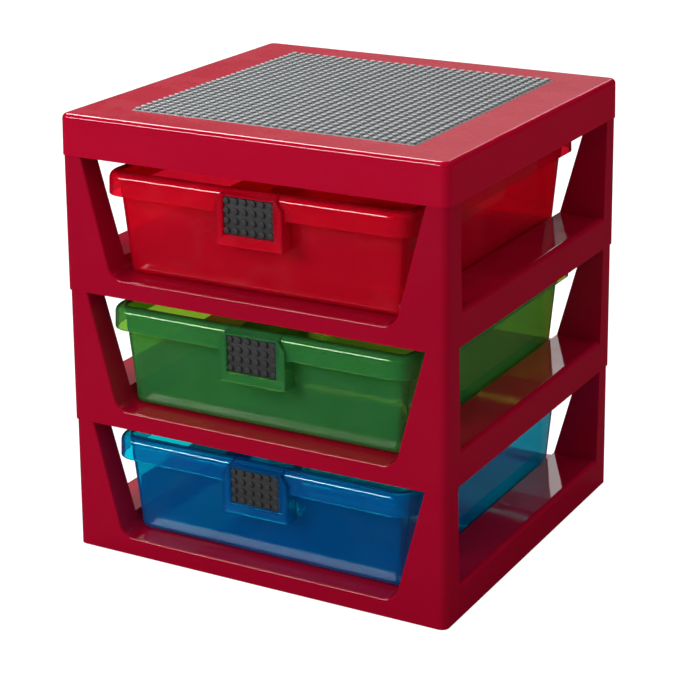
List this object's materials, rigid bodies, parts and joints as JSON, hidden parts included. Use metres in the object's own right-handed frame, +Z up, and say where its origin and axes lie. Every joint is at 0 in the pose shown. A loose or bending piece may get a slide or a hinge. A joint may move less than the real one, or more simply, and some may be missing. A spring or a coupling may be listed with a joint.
{
  "type": "storage drawer unit",
  "caption": "Tabletop storage unit shaped like a toy brick: open-sided stacked tiers with pull-out drawers under a lid with a studded top plate.",
  "frame": {"origin": "centre of the base, on the surface that the unit stands on", "axes": "+X to the right along the front, -Y out of the front (the drawers pull out along -Y), +Z up"},
  "size_m": [0.3474, 0.3296, 0.3758],
  "materials": {
    "casing_red": "opaque moulded plastic, high gloss",
    "drawer_blue": "tinted moulded plastic, high gloss",
    "drawer_green": "tinted moulded plastic, high gloss",
    "drawer_red": "tinted moulded plastic, high gloss",
    "plate_grey": "fine satin moulded plastic",
    "pull_grey": "fine satin moulded plastic"
  },
  "bodies": {
    "casing": {"lower_frame": "casing_red", "middle_frame": "casing_red", "upper_frame": "casing_red", "top_cover": "casing_red", "stud_plate": "plate_grey"},
    "lower_drawer": {"lower_drawer": "drawer_blue", "lower_pull_plate": "pull_grey"},
    "middle_drawer": {"middle_drawer": "drawer_green", "middle_pull_plate": "pull_grey"},
    "upper_drawer": {"upper_drawer": "drawer_red", "upper_pull_plate": "pull_grey"}
  },
  "joints": [
    {"name": "lower_drawer_slide", "type": "slide", "parent": "casing", "child": "lower_drawer", "axis": [0, -1, 0], "range_m": [0, 0.15]},
    {"name": "middle_drawer_slide", "type": "slide", "parent": "casing", "child": "middle_drawer", "axis": [0, -1, 0], "range_m": [0, 0.15]},
    {"name": "upper_drawer_slide", "type": "slide", "parent": "casing", "child": "upper_drawer", "axis": [0, -1, 0], "range_m": [0, 0.15]}
  ]
}
